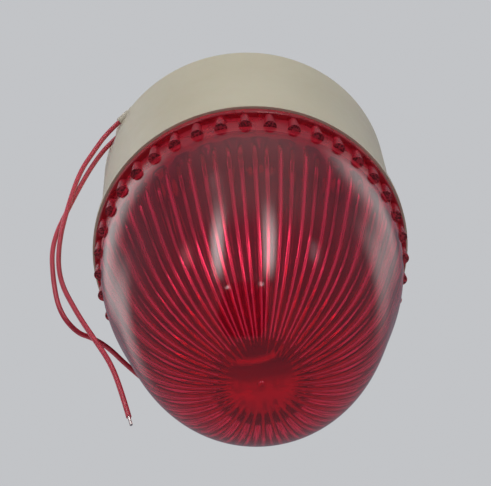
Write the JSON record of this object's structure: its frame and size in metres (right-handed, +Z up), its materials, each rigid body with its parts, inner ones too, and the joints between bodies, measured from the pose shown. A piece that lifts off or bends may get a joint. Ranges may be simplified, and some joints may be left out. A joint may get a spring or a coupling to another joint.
{
  "type": "alarm siren",
  "caption": "Round ceiling alarm siren with a cream cup housing, a red ribbed screw-on beacon lens and two red flying leads.",
  "frame": {"origin": "centre of the flat mounting face of the base, which lies against the ceiling", "axes": "+Z up into the ceiling along the siren's own axis, the lens points down to -Z; the leads leave the back rim towards -X and a little to -Y"},
  "size_m": [0.1074, 0.095, 0.1287],
  "materials": {
    "cream_abs": "satin moulded",
    "cream_vinyl": "soft satin",
    "red_lens": "clear red, polished",
    "seal_rubber": "matte",
    "red_vinyl": "semi-gloss",
    "tinned_copper": "bright tinned",
    "green_board": "solder mask",
    "black_board": "dark solder mask",
    "nickel": "plated",
    "zinc_steel": "zinc plated",
    "clear_plastic": "clear, polished",
    "black_resin": "moulded",
    "flash_glass": "clear",
    "capacitor_sleeve": "shrink sleeve",
    "resistor_body": "enamel",
    "brass": "bright",
    "terminal_green": "moulded",
    "ferrite": "sintered",
    "yellow_tape": "polyester tape",
    "black_abs": "moulded",
    "piezo_white": "silvered ceramic"
  },
  "bodies": {
    "base": {"base_housing": "cream_abs", "wire_grommet": "cream_vinyl", "wire_a": "red_vinyl", "wire_b": "red_vinyl", "wire_tip_a": "tinned_copper", "wire_tip_b": "tinned_copper", "inner_lead_a": "red_vinyl", "inner_lead_b": "red_vinyl", "driver_board": "green_board", "lamp_board": "black_board", "board_pillars": "nickel", "lamp_board_screws": "zinc_steel", "lamp_shroud": "clear_plastic", "tube_holder": "black_resin", "flash_tube": "flash_glass", "tube_electrodes": "nickel", "trigger_band": "tinned_copper", "flash_capacitor": "capacitor_sleeve", "trigger_coil": "black_resin", "lamp_components": "resistor_body", "board_link": "brass", "terminal_block": "terminal_green", "terminal_screws": "zinc_steel", "transformer_core": "ferrite", "transformer_winding": "yellow_tape", "smoothing_capacitor": "capacitor_sleeve", "siren_chip": "black_resin", "switching_transistor": "black_resin", "driver_resistors": "resistor_body", "sounder_chamber": "black_abs", "sounder_cover": "black_abs", "piezo_plate": "brass", "piezo_ceramic": "piezo_white"},
    "lens_carriage": {"lens_gasket": "seal_rubber"},
    "lens": {"lens": "red_lens"}
  },
  "joints": [
    {"name": "lens_travel", "type": "slide", "parent": "base", "child": "lens_carriage", "axis": [0, 0, -1], "range_m": [0, 0.00501]},
    {"name": "lens_twist", "type": "hinge", "parent": "lens_carriage", "child": "lens", "pos_m": [0, 0, -0.051], "axis": [0, 0, -1], "range_deg": [0, 90]}
  ],
  "couplings": [
    {"joint": "lens_travel", "follows": "lens_twist", "m_per_rad": 0.0031831}
  ]
}
